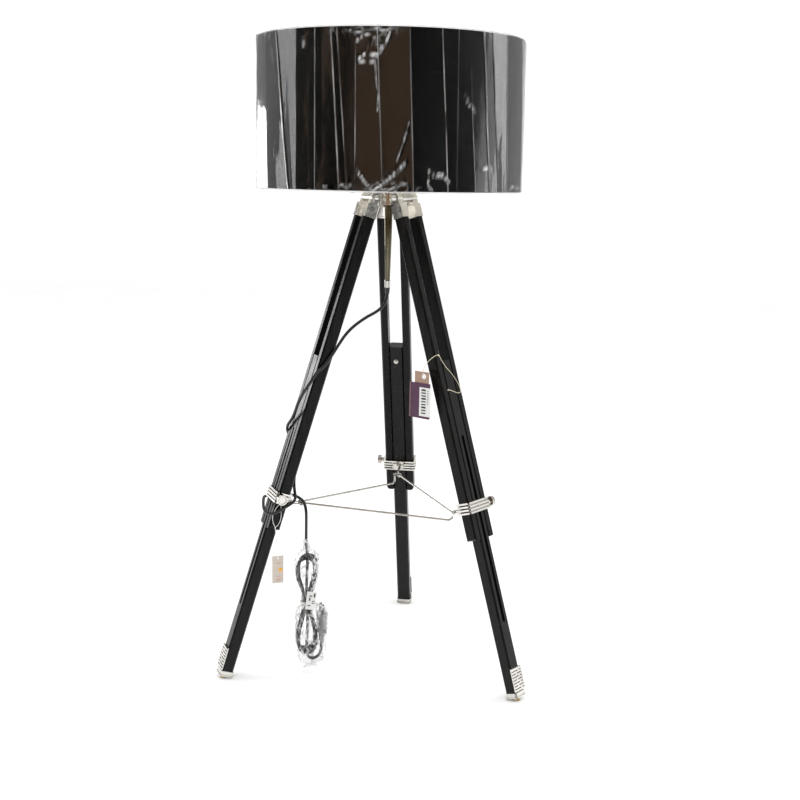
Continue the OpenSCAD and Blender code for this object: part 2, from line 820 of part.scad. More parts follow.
module care_tag() {
    translate([0, axis_y, 0]) rotate([0, 0, az_left])
        color("#e8e2d4") translate([231, 24, 217]) rotate([90, 0, 0])
            linear_extrude(0.8, center = true) round_rect(21, 54, 2);
}

hub();
hinge_bolts();
hinge_nuts();
stem();
stem_ferrule();
cord_grommet();
neck_nipple();
neck_spacer();
harp_saddle();
harp();
finial();
socket_cap();
socket_shell();
switch_knob();
bulb_glass();
bulb_base();
shade_drum();
shade_top_frame();
shade_bottom_ring();
shade_film();
rails(az_right);  // rails_right
rails(az_back);  // rails_back
rails(az_left);  // rails_left
ferrules(az_right);  // ferrules_right
ferrules(az_back);  // ferrules_back
ferrules(az_left);  // ferrules_left
lower_leg(az_right);  // lower_leg_right
lower_leg(az_back);  // lower_leg_back
lower_leg(az_left);  // lower_leg_left
stop_screw(az_right);  // stop_screw_right
stop_screw(az_back);  // stop_screw_back
stop_screw(az_left);  // stop_screw_left
foot_cap(az_right);  // foot_cap_right
foot_cap(az_back);  // foot_cap_back
foot_cap(az_left);  // foot_cap_left
foot_plate(az_right);  // foot_plate_right
foot_plate(az_back);  // foot_plate_back
foot_plate(az_left);  // foot_plate_left
glide(az_right);  // glide_right
glide(az_back);  // glide_back
glide(az_left);  // glide_left
clamp(az_right);  // clamp_right
clamp(az_back);  // clamp_back
clamp(az_left);  // clamp_left
thumbscrew(az_right);  // thumbscrew_right
thumbscrew(az_back);  // thumbscrew_back
thumbscrew(az_left);  // thumbscrew_left
eye(az_right);  // eye_right
eye(az_back);  // eye_back
eye(az_left);  // eye_left
rod(az_left, 1, low_slope, hook_low);  // rod_left_right
rod(az_left, -1, low_slope, hook_close);  // rod_left_back
rod(az_back, -1, high_slope, hook_close);  // rod_back_right
cord_riser();
cord_drape();
cord_wrap();
cord_hank();
plug();
price_tag();
care_tag();
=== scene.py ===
import math
import random

import bpy
from mathutils import Matrix, Vector, noise


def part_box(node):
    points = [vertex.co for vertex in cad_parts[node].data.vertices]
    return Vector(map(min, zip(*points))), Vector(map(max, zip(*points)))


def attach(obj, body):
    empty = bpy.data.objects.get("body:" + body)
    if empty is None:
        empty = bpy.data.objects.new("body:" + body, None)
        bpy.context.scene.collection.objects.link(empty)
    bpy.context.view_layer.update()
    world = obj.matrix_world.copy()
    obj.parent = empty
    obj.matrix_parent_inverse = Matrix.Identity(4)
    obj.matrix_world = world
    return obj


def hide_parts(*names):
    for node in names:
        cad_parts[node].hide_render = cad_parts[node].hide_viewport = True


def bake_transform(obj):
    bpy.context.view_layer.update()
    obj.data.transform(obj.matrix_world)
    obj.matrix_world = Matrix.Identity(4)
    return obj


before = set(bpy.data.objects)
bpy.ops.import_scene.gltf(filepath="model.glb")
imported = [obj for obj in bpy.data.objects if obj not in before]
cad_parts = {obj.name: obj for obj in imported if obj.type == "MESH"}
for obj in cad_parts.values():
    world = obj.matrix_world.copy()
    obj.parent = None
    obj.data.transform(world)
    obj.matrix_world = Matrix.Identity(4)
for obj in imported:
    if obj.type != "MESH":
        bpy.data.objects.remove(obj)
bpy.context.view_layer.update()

# ---- Places taken from the frame ----

lo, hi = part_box("stem")
AX, AY = (lo.x + hi.x) / 2, (lo.y + hi.y) / 2
slo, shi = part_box("shade_drum")
SHADE_R = (shi.x - slo.x) / 2
SHADE_Z0, SHADE_Z1 = slo.z, shi.z

# The legs' hinges, in millimetres from the axis and the floor, and the legs' lean
HINGE_R, HINGE_Z, SPLAY = 38, 945, math.radians(17.5)
LEG_AZ = {"right": -30, "back": 90, "left": 210}
CORD_R = 0.003


def axis_pt(az, r, t, z):
    """A point from radius r towards a leg, t across it and height z, all in millimetres."""
    a = math.radians(az)
    return Vector((AX + (r * math.cos(a) - t * math.sin(a)) / 1000,
                   AY + (r * math.sin(a) + t * math.cos(a)) / 1000, z / 1000))


def leg_pt(az, s, t, n):
    """A point s down a leg, t along its hinge and n outward of its middle, in millimetres."""
    sn, cs = math.sin(SPLAY), math.cos(SPLAY)
    return axis_pt(az, HINGE_R + s * sn + n * cs, t, HINGE_Z - s * cs + n * sn)


def axes_of(az):
    """Outward, across and up, for a leg's azimuth."""
    a = math.radians(az)
    return (Vector((math.cos(a), math.sin(a), 0)), Vector((-math.sin(a), math.cos(a), 0)),
            Vector((0, 0, 1)))


# ---- Camera ----

CAM_X, CAM_Y, CAM_Z = 0.3814, -2.4181, 0.9967   # from the lamp's axis on the floor
CAM_TURN, CAM_DIP, CAM_ROLL = 8.285, 10.495, 1.047
FOCAL = 1238.67 / 800                           # in widths of the picture
cam_data = bpy.data.cameras.new("camera")
cam_data.sensor_width = 36
cam_data.lens = cam_data.sensor_width * FOCAL
cam_data.clip_end = 60
cam = bpy.data.objects.new("camera", cam_data)
bpy.context.scene.collection.objects.link(cam)
cam.matrix_world = (Matrix.Translation((AX + CAM_X, AY + CAM_Y, CAM_Z))
                    @ Matrix.Rotation(math.radians(CAM_TURN), 4, "Z")
                    @ Matrix.Rotation(math.radians(90 - CAM_DIP), 4, "X")
                    @ Matrix.Rotation(math.radians(CAM_ROLL), 4, "Z"))
bpy.context.scene.camera = cam
FRONT = math.degrees(math.atan2(CAM_Y, CAM_X))  # azimuth of the photographer

# ---- Mesh helpers ----


def add_mesh(name, verts, faces, mats, smooth=True):
    me = bpy.data.meshes.new(name)
    me.from_pydata([tuple(v) for v in verts], [], faces)
    me.validate()
    me.update()
    if smooth:
        me.polygons.foreach_set("use_smooth", [True] * len(me.polygons))
    ob = bpy.data.objects.new(name, me)
    bpy.context.scene.collection.objects.link(ob)
    for m in mats:
        me.materials.append(m)
    return ob


def thicken(ob, thickness):
    """Gives a sheet its thickness, outward."""
    mod = ob.modifiers.new("thickness", "SOLIDIFY")
    mod.thickness = thickness
    mod.offset = 1
    deps = bpy.context.evaluated_depsgraph_get()
    me = bpy.data.meshes.new_from_object(ob.evaluated_get(deps))
    old = ob.data
    ob.modifiers.clear()
    ob.data = me
    bpy.data.meshes.remove(old)


def catmull(points, steps):
    """A smooth curve through the points."""
    out = []
    last = len(points) - 1
    for i in range(last):
        a, b = points[max(i - 1, 0)], points[i]
        c, d = points[i + 1], points[min(i + 2, last)]
        for j in range(steps):
            u = j / steps
            out.append(0.5 * (2 * b + (c - a) * u + (2 * a - 5 * b + 4 * c - d) * u * u
                              + (3 * b - a - 3 * c + d) * u ** 3))
    out.append(points[-1].copy())
    return out


def resample(points, step):
    """The same line with evenly spaced points."""
    total = sum((b - a).length for a, b in zip(points, points[1:]))
    count = max(2, round(total / step))
    want = [total * k / count for k in range(count + 1)]
    out, run, k = [], 0.0, 0
    for a, b in zip(points, points[1:]):
        d = (b - a).length
        while k <= count and want[k] <= run + d + 1e-12:
            out.append(a.lerp(b, (want[k] - run) / d if d > 0 else 0))
            k += 1
        run += d
    while len(out) <= count:
        out.append(points[-1].copy())
    return out


def relax(points, rounds):
    """Rounds off a line, and leaves the three points at each end where they are."""
    pts = [p.copy() for p in points]
    for _ in range(rounds):
        new = [p.copy() for p in pts]
        for i in range(3, len(pts) - 3):
            new[i] = pts[i] * 0.5 + (pts[i - 1] + pts[i + 1]) * 0.25
        pts = new
    return pts


def set_crease(ob, values):
    """Stores how milky white the film is at each point: partly its own whitening, partly painted
    highlight.
    """
    att = ob.data.attributes.new("crease", "FLOAT", "POINT")
    att.data.foreach_set("value", [min(1.0, max(0.0, v)) for v in values])


def tube(name, points, radius, mats, sides=12, flat=1.0):
    """A round or flattened tube along a line, with closed ends."""
    verts, faces = [], []
    count = len(points)
    normal = None
    for i, p in enumerate(points):
        t = (points[min(i + 1, count - 1)] - points[max(i - 1, 0)]).normalized()
        if normal is None:
            normal = t.orthogonal().normalized()
        normal = (normal - t * normal.dot(t)).normalized()
        side = t.cross(normal)
        for k in range(sides):
            a = 2 * math.pi * k / sides
            verts.append(p + normal * (radius * math.cos(a)) + side * (radius * flat * math.sin(a)))
    for i in range(count - 1):
        for k in range(sides):
            a, b = i * sides + k, i * sides + (k + 1) % sides
            faces.append((a, b, b + sides, a + sides))
    faces.append(tuple(range(sides - 1, -1, -1)))
    faces.append(tuple((count - 1) * sides + k for k in range(sides)))
    return add_mesh(name, verts, faces, mats)


# ---- Material helpers ----


def material(name):
    m = bpy.data.materials.new(name)
    m.use_nodes = True
    nt = m.node_tree
    nt.nodes.clear()
    out = nt.nodes.new("ShaderNodeOutputMaterial")
    bsdf = nt.nodes.new("ShaderNodeBsdfPrincipled")
    nt.links.new(bsdf.outputs[0], out.inputs[0])
    return m, nt, bsdf


def node(nt, kind, **inputs):
    n = nt.nodes.new(kind)
    for key, value in inputs.items():
        n.inputs[key].default_value = value
    return n


def math_of(nt, operation, a, b):
    n = nt.nodes.new("ShaderNodeMath")
    n.operation = operation
    nt.links.new(a, n.inputs[0])
    nt.links.new(b, n.inputs[1])
    return n.outputs[0]


def mix_colors(nt, share, a, b):
    """A mix of two colours, each a socket or fixed."""
    n = nt.nodes.new("ShaderNodeMix")
    n.data_type = "RGBA"
    nt.links.new(share, n.inputs[0])
    for socket, col in ((n.inputs[6], a), (n.inputs[7], b)):
        if isinstance(col, tuple):
            socket.default_value = (*col, 1)
        else:
            nt.links.new(col, socket)
    return n.outputs[2]


def coords(nt, scale=(1, 1, 1)):
    """Object coordinates, which are the frame's, in metres."""
    tc = nt.nodes.new("ShaderNodeTexCoord")
    mp = nt.nodes.new("ShaderNodeMapping")
    mp.inputs["Scale"].default_value = scale
    nt.links.new(tc.outputs["Object"], mp.inputs["Vector"])
    return mp.outputs[0]


def ramp(nt, src, stops):
    r = nt.nodes.new("ShaderNodeValToRGB")
    el = r.color_ramp.elements
    while len(el) < len(stops):
        el.new(0.5)
    for e, (pos, col) in zip(el, stops):
        e.position = pos
        e.color = (*col, 1)
    nt.links.new(src, r.inputs[0])
    return r.outputs[0]


def noise_tex(nt, vec, scale, detail=4.0, rough=0.55):
    n = node(nt, "ShaderNodeTexNoise", Scale=scale, Detail=detail, Roughness=rough)
    nt.links.new(vec, n.inputs["Vector"])
    return n.outputs[0]


def map_range(nt, src, a, b, c, d):
    n = nt.nodes.new("ShaderNodeMapRange")
    for i, v in enumerate((a, b, c, d)):
        n.inputs[i + 1].default_value = v
    nt.links.new(src, n.inputs[0])
    return n.outputs[0]


def bump(nt, bsdf, height, strength, distance):
    b = node(nt, "ShaderNodeBump", Strength=strength, Distance=distance)
    nt.links.new(height, b.inputs["Height"])
    nt.links.new(b.outputs[0], bsdf.inputs["Normal"])


def chrome(name, tint=(0.7, 0.69, 0.67), rough=(0.05, 0.16), scale=90.0, wave=0.15,
           crevice_shade_reach=0.003):
    """Plated metal, cloudy in places, with painted shade darkening its corners and grooves."""
    m, nt, b = material(name)
    vec = coords(nt)
    cloud = noise_tex(nt, vec, scale)
    b.inputs["Metallic"].default_value = 1.0
    stain = noise_tex(nt, vec, scale * 0.35, 6)
    clean = ramp(nt, stain, [(0.32, tuple(c * 0.72 for c in tint)), (0.55, tint)])
    # Painted shade: an occlusion mask blends the colour towards dark brown in corners and grooves.
    crevice_occlusion = node(nt, "ShaderNodeAmbientOcclusion", Distance=crevice_shade_reach)
    crevice_shade_colour = (tint[0] * 0.12, tint[1] * 0.09, tint[2] * 0.06)
    open_share = map_range(nt, crevice_occlusion.outputs["AO"], 0.35, 0.85, 0, 1)
    nt.links.new(mix_colors(nt, open_share, crevice_shade_colour, clean), b.inputs["Base Color"])
    nt.links.new(map_range(nt, cloud, 0.3, 0.75, *rough), b.inputs["Roughness"])
    bump(nt, b, noise_tex(nt, vec, 160.0, 2), wave, 0.0004)
    return m


def black_wood(name, rough, gloss):
    """Black satin lacquer with the grain just showing and paler rubbed spots."""
    m, nt, b = material(name)
    vec = coords(nt, (90, 90, 6))
    grain = noise_tex(nt, vec, 1.6, 7, 0.62)
    pores = noise_tex(nt, coords(nt, (420, 420, 14)), 1.4, 3)
    nt.links.new(ramp(nt, grain, [(0.3, (0.003, 0.003, 0.003)), (0.55, (0.0055, 0.0052, 0.005)),
                                  (0.78, (0.013, 0.012, 0.011))]), b.inputs["Base Color"])
    nt.links.new(map_range(nt, noise_tex(nt, coords(nt), 22, 5), 0.3, 0.7, rough * 0.8, rough * 1.3),
                 b.inputs["Roughness"])
    b.inputs["Specular IOR Level"].default_value = gloss
    bump(nt, b, math_of(nt, "ADD", grain, pores), 0.22, 0.0005)
    return m


def plastic(name, base, rough, scale, strength, coat=0.0):
    """Moulded plastic with a fine grain and faint cloudiness."""
    m, nt, b = material(name)
    vec = coords(nt)
    n1 = noise_tex(nt, vec, scale, 5)
    dark = tuple(c * 0.8 for c in base)
    light = tuple(min(1, c * 1.18) for c in base)
    nt.links.new(ramp(nt, noise_tex(nt, vec, 40, 5), [(0.3, dark), (0.7, light)]),
                 b.inputs["Base Color"])
    nt.links.new(map_range(nt, n1, 0.3, 0.7, rough * 0.85, rough * 1.2), b.inputs["Roughness"])
    bump(nt, b, n1, strength, 0.0003)
    b.inputs["Coat Weight"].default_value = coat
    return m


def card(name, base, spread=0.12, rough=0.75, fibre=700.0):
    """Card, paper or twine, mottled by its fibres."""
    m, nt, b = material(name)
    vec = coords(nt)
    n1 = noise_tex(nt, vec, fibre, 6, 0.7)
    n2 = noise_tex(nt, vec, 60, 4)
    nt.links.new(ramp(nt, map_range(nt, math_of(nt, "ADD", n1, n2), 0.6, 1.4, 0, 1),
                      [(0.1, tuple(c * (1 - spread) for c in base)),
                       (0.9, tuple(min(1, c * (1 + spread)) for c in base))]),
                 b.inputs["Base Color"])
    b.inputs["Roughness"].default_value = rough
    bump(nt, b, n1, 0.25, 0.0002)
    return m


def clear_film(name, rough=0.03, wrinkle=0.25, scale=26.0, ior=1.5):
    """Clear film that turns milky white in its creases: partly the film's own stress whitening, partly
    painted highlight where the creases catch the light.
    """
    m, nt, b = material(name)
    vec = coords(nt)
    b.inputs["Base Color"].default_value = (1, 1, 1, 1)
    b.inputs["IOR"].default_value = ior
    nt.links.new(map_range(nt, noise_tex(nt, vec, 30, 5), 0.35, 0.7, rough * 0.6, rough * 1.8),
                 b.inputs["Roughness"])
    bump(nt, b, noise_tex(nt, coords(nt, (1, 1, 0.35)), scale, 3), wrinkle, 0.002)
    # Painted highlight, partly real whitening: the crease attribute lowers transmission so the creases
    # show white.
    att = nt.nodes.new("ShaderNodeAttribute")
    att.attribute_name = "crease"
    fine = map_range(nt, noise_tex(nt, vec, 420, 4), 0.35, 0.6, 0.35, 1.0)
    crease_whitening_and_glint = math_of(nt, "MULTIPLY", att.outputs["Fac"], fine)
    nt.links.new(map_range(nt, crease_whitening_and_glint, 0, 1, 1.0, 0.12), b.inputs["Transmission Weight"])
    return m


M = {
    "chrome": chrome("chrome_plate", (0.72, 0.7, 0.66)),
    "wire": chrome("bright_wire", (0.5, 0.48, 0.44), (0.12, 0.3), 140, 0.15, 0.002),
    "satin": chrome("satin_nickel", (0.95, 0.92, 0.85), (0.12, 0.26), 70, 0.2, 0.002),
    "stem": chrome("dark_bronzed_stem", (0.2, 0.18, 0.12), (0.04, 0.1), 60, 0.06, 0.002),
    "hub": chrome("cast_chrome", (0.72, 0.7, 0.66), (0.07, 0.26), 60, 0.35, 0.004),
    "wood": black_wood("black_lacquered_rails", 0.24, 0.16),
    "wood_satin": black_wood("black_satin_lower_legs", 0.22, 0.2),
    "cord": plastic("black_cord_jacket", (0.014, 0.014, 0.015), 0.32, 900, 0.2),
    "socket": plastic("black_socket_plastic", (0.02, 0.02, 0.021), 0.28, 300, 0.08, 0.3),
    "plug": plastic("grey_plug_plastic", (0.3, 0.31, 0.32), 0.4, 300, 0.15),
    "brass": chrome("worn_brass", (0.72, 0.55, 0.28), (0.2, 0.42), 120, 0.3),
    "film": clear_film("clear_wrap_film"),
    "bag": clear_film("clear_bag_film", 0.04, 0.5, 70.0, 1.2),
    "kraft": card("brown_kraft_card", (0.33, 0.22, 0.16)),
    "purple": card("purple_printed_card", (0.075, 0.026, 0.06), 0.2, 0.45),
    "paper": card("white_label_paper", (0.66, 0.66, 0.64), 0.06, 0.6),
    "cream": card("cream_care_card", (0.56, 0.5, 0.44), 0.08, 0.6),
    "ink": card("black_print", (0.02, 0.02, 0.02), 0.3, 0.5),
    "amber": card("amber_print", (0.85, 0.42, 0.06), 0.15, 0.55),
    "string": card("cream_twine", (0.66, 0.6, 0.46), 0.2, 0.8, 1600),
    "white_twine": card("white_twine", (0.8, 0.79, 0.76), 0.1, 0.8, 1600),
    "magenta": card("magenta_printed_card", (0.28, 0.06, 0.16), 0.2, 0.45),
    "rust": card("rust_print", (0.5, 0.16, 0.05), 0.2, 0.6),
}


def fabric_shade():
    """Black textured shade cloth outside and a pale lining inside."""
    m, nt, b = material("black_shade_cloth")
    tc = nt.nodes.new("ShaderNodeTexCoord")
    sep = nt.nodes.new("ShaderNodeSeparateXYZ")
    sub = nt.nodes.new("ShaderNodeVectorMath")
    sub.operation = "SUBTRACT"
    sub.inputs[1].default_value = (AX, AY, 0)
    nt.links.new(tc.outputs["Object"], sub.inputs[0])
    nt.links.new(sub.outputs[0], sep.inputs[0])
    flat = nt.nodes.new("ShaderNodeCombineXYZ")
    nt.links.new(sep.outputs["X"], flat.inputs["X"])
    nt.links.new(sep.outputs["Y"], flat.inputs["Y"])
    rad = nt.nodes.new("ShaderNodeVectorMath")
    rad.operation = "LENGTH"
    nt.links.new(flat.outputs[0], rad.inputs[0])
    outer = map_range(nt, rad.outputs["Value"], SHADE_R - 0.0012, SHADE_R - 0.0008, 0, 1)
    weave = nt.nodes.new("ShaderNodeCombineXYZ")
    nt.links.new(math_of(nt, "ARCTAN2", sep.outputs["Y"], sep.outputs["X"]), weave.inputs["X"])
    nt.links.new(sep.outputs["Z"], weave.inputs["Y"])
    mp = nt.nodes.new("ShaderNodeMapping")
    mp.inputs["Scale"].default_value = (SHADE_R, 1, 1)
    nt.links.new(weave.outputs[0], mp.inputs["Vector"])
    warp = node(nt, "ShaderNodeTexWave", Scale=260.0, Distortion=2.0, Detail=2.0)
    warp.bands_direction = "X"
    weft = node(nt, "ShaderNodeTexWave", Scale=230.0, Distortion=2.5, Detail=2.0)
    weft.bands_direction = "Y"
    for w in (warp, weft):
        nt.links.new(mp.outputs[0], w.inputs["Vector"])
    cloth = math_of(nt, "MULTIPLY", warp.outputs["Fac"], weft.outputs["Fac"])
    black = ramp(nt, cloth, [(0.0, (0.002, 0.0019, 0.0018)), (1.0, (0.008, 0.0072, 0.0065))])
    white = ramp(nt, cloth, [(0.0, (0.62, 0.6, 0.56)), (1.0, (0.76, 0.74, 0.7))])
    nt.links.new(mix_colors(nt, outer, white, black), b.inputs["Base Color"])
    b.inputs["Roughness"].default_value = 0.7
    b.inputs["Specular IOR Level"].default_value = 0.25
    bump(nt, b, cloth, 0.3, 0.0004)
    return m


def frosted_bulb():
    """White frosted glass."""
    m, nt, b = material("frosted_bulb_glass")
    n1 = noise_tex(nt, coords(nt), 300, 4)
    nt.links.new(ramp(nt, n1, [(0.3, (0.86, 0.85, 0.82)), (0.7, (0.93, 0.92, 0.9))]),
                 b.inputs["Base Color"])
    b.inputs["Roughness"].default_value = 0.22
    b.inputs["Subsurface Weight"].default_value = 0.3
    b.inputs["Subsurface Radius"].default_value = (0.01, 0.01, 0.01)
    b.inputs["Coat Weight"].default_value = 0.4
    bump(nt, b, n1, 0.05, 0.0002)
    return m


M["shade"] = fabric_shade()
M["bulb"] = frosted_bulb()

NODE_MATERIAL = {
    "hub": "hub", "hinge_bolts": "chrome", "hinge_nuts": "chrome", "stem": "stem",
    "stem_ferrule": "chrome", "cord_grommet": "cord", "neck_nipple": "brass",
    "neck_spacer": "chrome", "harp_saddle": "chrome", "harp": "wire", "finial": "chrome",
    "socket_cap": "brass", "socket_shell": "socket", "switch_knob": "socket",
    "bulb_glass": "bulb", "bulb_base": "wire", "shade_drum": "shade",
    "shade_top_frame": "wire", "shade_bottom_ring": "wire", "cord_riser": "cord",
    "plug": "plug",
}
for leg in LEG_AZ:
    for part, mat in (("rails", "wood"), ("ferrules", "satin"), ("lower_leg", "wood_satin"),
                      ("stop_screw", "chrome"), ("foot_cap", "chrome"), ("foot_plate", "chrome"),
                      ("glide", "brass"), ("clamp", "chrome"), ("thumbscrew", "chrome"),
                      ("eye", "wire")):
        NODE_MATERIAL[f"{part}_{leg}"] = mat
for rod in ("rod_left_right", "rod_left_back", "rod_back_right"):
    NODE_MATERIAL[rod] = "wire"
for name, mat in NODE_MATERIAL.items():
    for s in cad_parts[name].material_slots:
        s.material = M[mat]

# ---- The cord ----

drape_points = [
    (0, 0, 764), (0, 0, 755), (3, 0, 742), (12, 2, 730), (26, 5, 721), (43, 9, 714),
    (61, 14, 705), (79, 19, 694), (96, 25, 680), (110, 32, 665), (126, 36, 644),
    (143, 36.5, 621),
]
wrap_points = [
    (352, 36, 12), (370, 35, 17), (388, 33, 22), (406, 26, 25), (424, 15, 24), (441, 2, 20),
    (458, -12, 17), (475, -26, 17), (489, -35, 9), (502, -36, -4), (516, -32, -15),
    (532, -21, -20), (550, -10, -20), (570, -1, -20), (588, 8, -23), (601, 19, -26),
    (609, 32, -22), (616, 39, -13), (625, 39, -4), (635, 38, 5), (643, 33, 15),
    (645, 22, 23), (641, 9, 26), (634, -5, 25), (628, -20, 22), (625, -34, 17),
    (622, -40, 6), (618, -40, -8), (613, -34, -20), (608, -22, -28), (605, -8, -33),
    (604, 5, -37), (605, 18, -41), (609, 29, -45),
]
drop_points = [(177, 36, 336), (177, 37, 318), (177, 37, 298), (177, 37, 278)]
L = LEG_AZ["left"]
HANK_R, HANK_T = 175, 37
TIE_Z = 150

route = [axis_pt(L, *p) for p in drape_points] + [leg_pt(L, *p) for p in wrap_points]
route += [axis_pt(L, *p) for p in drop_points]


def hank_pt(u, v, z):
    """A point of the hank: u outward, v towards the front and height z, from its middle."""
    return axis_pt(L, HANK_R + u, HANK_T + v, z)


# The passes through the tie, and the layers of the loops below and above it
tie_at = [(3, 5.2), (-3, 5.2), (6, 0), (-6, 0), (3, -5.2), (-3, -5.2), (0, 0)]
low_layers = [6, 0, -6]
high_layers = [4, -2, -8]
LOBE = 18


def lobe(side, v, near, middle, end):
    """One loop of the hank from the tie and back: side is 1 below the tie and -1 above it."""
    out = [(10, near), (LOBE - 1, middle), (LOBE, end + 10 * side)]
    back = [hank_pt(-side * u, v, z) for u, z in reversed(out)]
    bend = [hank_pt(side * LOBE * math.cos(math.radians(k)), v,
                    end - side * LOBE * math.sin(math.radians(k))) for k in range(0, 181, 30)]
    return [hank_pt(side * u, v, z) for u, z in out] + bend + back


hank = [hank_pt(2, 4, 262), hank_pt(2, 9, 240), hank_pt(3, 9, 205), hank_pt(3, 7, 178),
        hank_pt(*tie_at[0], TIE_Z)]
for i in range(3):
    hank += lobe(1, low_layers[i], 118, 92, 62 + 4 * i)
    hank.append(hank_pt(*tie_at[2 * i + 1], TIE_Z))
    hank += lobe(-1, high_layers[i], 180, 203, 232 - 6 * i)
    hank.append(hank_pt(*tie_at[2 * i + 2], TIE_Z))
# The end leaves the hank at the front and turns up into the plug
PLUG_U, TURN_R = -31, 17.5
hank += [hank_pt(1, 6, 125), hank_pt(2, 12, 105), hank_pt(4, 13, 80), hank_pt(4, 13, 62)]
for k in range(0, 181, 30):
    t = math.radians(k)
    hank.append(hank_pt(PLUG_U + TURN_R + TURN_R * math.cos(t), 13 * (1 - k / 180),
                        50 - TURN_R * math.sin(t)))
hank += [hank_pt(PLUG_U, 0, 58), hank_pt(PLUG_U, 0, 67)]

line = relax(resample(catmull(route + hank, 8), 0.004), 3)
cord = tube("lamp_cord", line, CORD_R, [M["cord"]], 12)

# ---- Clear film round the shade ----

# Folds: angle at the top and at the bottom, how far the film stands off there in
# millimetres, and how sharply it is creased. Angles run from the front to the right.
FOLDS = [
    (-90, -90, 1.2, 1.4, 0.3, 0.3), (-75, -75, 3.0, 3.2, 1.4, 1.2), (-64, -61, 0.9, 0.7, 0, 0.2),
    (-53, -45, 2.8, 2.2, 1.8, 1.6), (-46.5, -42.6, 1.0, 1.2, 0.2, 0),
    (-40.5, -40.5, 2.8, 2.4, 0.5, 0.4), (-34, -33.6, 0.5, 0.5, 0, 0),
    (-31, -31, 1.6, 1.2, 0.5, 0.2), (-28.4, -27.5, 0.5, 0.5, 0, 0),
    (-24, -20, 1.3, 1.3, 0.9, 0.8), (-21.6, -16.8, 1.1, 1.2, 0.7, 0.6),
    (-14, -13.5, 0.5, 1.6, 0.1, 1.0), (-5.5, -2.6, 1.6, 0.5, 1.0, 0.1),
    (7, 9.6, 2.2, 2.0, 0.5, 0.5), (13, 15, 0.5, 0.5, 0, 0), (20, 24, 1.1, 1.1, 0.7, 0.7),
    (27, 28, 1.5, 1.2, 0.3, 0.2), (32, 36.5, 0.6, 3.6, 0, 0.5), (39, 45, 1.6, 1.0, 0.9, 0.7),
    (44, 50.5, 2.4, 2.2, 0.6, 0.6), (49.5, 54, 1.0, 0.9, 0, 0), (54, 57.5, 1.6, 1.4, 0.8, 0.8),
    (62, 67, 0.6, 0.6, 0, 0), (70, 76, 2.6, 3.0, 1.0, 1.2), (79, 82, 0.8, 0.8, 0, 0),
]
rng = random.Random(11)
turn = 90.0
while turn < 262:
    peak = rng.random() < 0.6
    lift = rng.uniform(1.4, 3.2) if peak else rng.uniform(0.4, 0.9)
    crease = rng.uniform(0.4, 1.6) if peak else 0.0
    FOLDS.append((turn, turn + rng.uniform(-1.8, 1.8), lift, lift * rng.uniform(0.7, 1.1),
                  crease, crease * rng.uniform(0.5, 1.1)))
    turn += rng.uniform(4.5, 10.5)
FOLDS.append((270, 270, 1.2, 1.4, 0.3, 0.3))

FILM_R = SHADE_R + 0.0002
FILM_Z0, FILM_Z1 = SHADE_Z0 - 0.0012, SHADE_Z1 + 0.0012


def film_columns():
    """Fold number and share of the way to the next fold, closer together by the folds."""
    cols = []
    for k in range(len(FOLDS) - 1):
        wide = math.radians(FOLDS[k + 1][0] - FOLDS[k][0]) * FILM_R * 1000
        marks = [m for m in (0, 0.5, 1.1, 2.0, 3.4) if m < wide * 0.45]
        fine = 2.2 if -26 < FOLDS[k][0] < 14 else 4.2
        inner = max(1, round((wide - 2 * marks[-1]) / fine))
        span = wide - 2 * marks[-1]
        along = marks + [marks[-1] + span * j / inner for j in range(1, inner)]
        along += [wide - m for m in reversed(marks[1:])]
        along.append(wide - marks[-1])
        cols += [(k, a / wide) for a in sorted(set(round(a, 4) for a in along)) if a < wide - 0.01]
    return cols


# Crumples: points of a crease as angle and share of the height, with its height in millimetres
CRUMPLES = [
    ([(-16, 0.97), (-13, 0.955), (-7, 0.985), (-2, 0.965), (1, 0.99)], 1.6),
    ([(-14, 0.9), (-10, 0.945), (-6, 0.93)], 1.5),
    ([(-12.5, 0.8), (-9.5, 0.835), (-5.5, 0.82), (-2.5, 0.88), (-0.5, 0.96)], 2.4),
    ([(-12.8, 0.79), (-9, 0.775), (-6, 0.79)], 1.6),
    ([(-9, 0.87), (-6.5, 0.9), (-3.5, 0.86)], 1.4),
    ([(-6, 0.78), (-5.5, 0.66), (-4.6, 0.6), (-4.9, 0.5)], 1.3),
    ([(-12.8, 0.13), (-9.5, 0.06), (-6.5, 0.015)], 1.9),
    ([(-6, 0.012), (-2.5, 0.05), (2.5, 0.12), (6.5, 0.19)], 2.2),
    ([(-5, 0.03), (0, 0.015), (4, 0.05), (6.8, 0.06)], 1.2),
    ([(3, 0.2), (5.2, 0.3), (7.2, 0.42)], 1.1),
    ([(15.5, 0.14), (18, 0.1), (21, 0.115), (24.5, 0.07)], 1.5),
    ([(15.8, 0.13), (15.4, 0.05), (17, 0.02)], 1.3),
    ([(30, 0.62), (33, 0.54), (35.5, 0.5)], 1.2), ([(38, 0.17), (42, 0.155), (45, 0.165)], 1.6),
    ([(-20, 0.05), (-17, 0.03), (-15, 0.045)], 1.2), ([(-27, 0.035), (-25, 0.01)], 1.4),
    ([(-37, 0.95), (-36.5, 0.88)], 1.2), ([(-58, 0.9), (-55, 0.8), (-54, 0.7)], 0.9),
    ([(60, 0.03), (66, 0.05), (72, 0.03)], 1.5), ([(-84, 0.14), (-80, 0.06)], 1.5),
]
spots = random.Random(5)
for _ in range(46):
    ang, high = spots.uniform(92, 268), spots.random() < 0.5
    v0 = spots.uniform(0.0, 0.16)
    pts = []
    for _ in range(spots.randint(2, 4)):
        pts.append((ang, 1 - v0 if high else v0))
        ang += spots.uniform(1.5, 4.5)
        v0 = min(0.3, max(0.01, v0 + spots.uniform(-0.07, 0.07)))
    CRUMPLES.append((pts, spots.uniform(0.8, 2.1)))
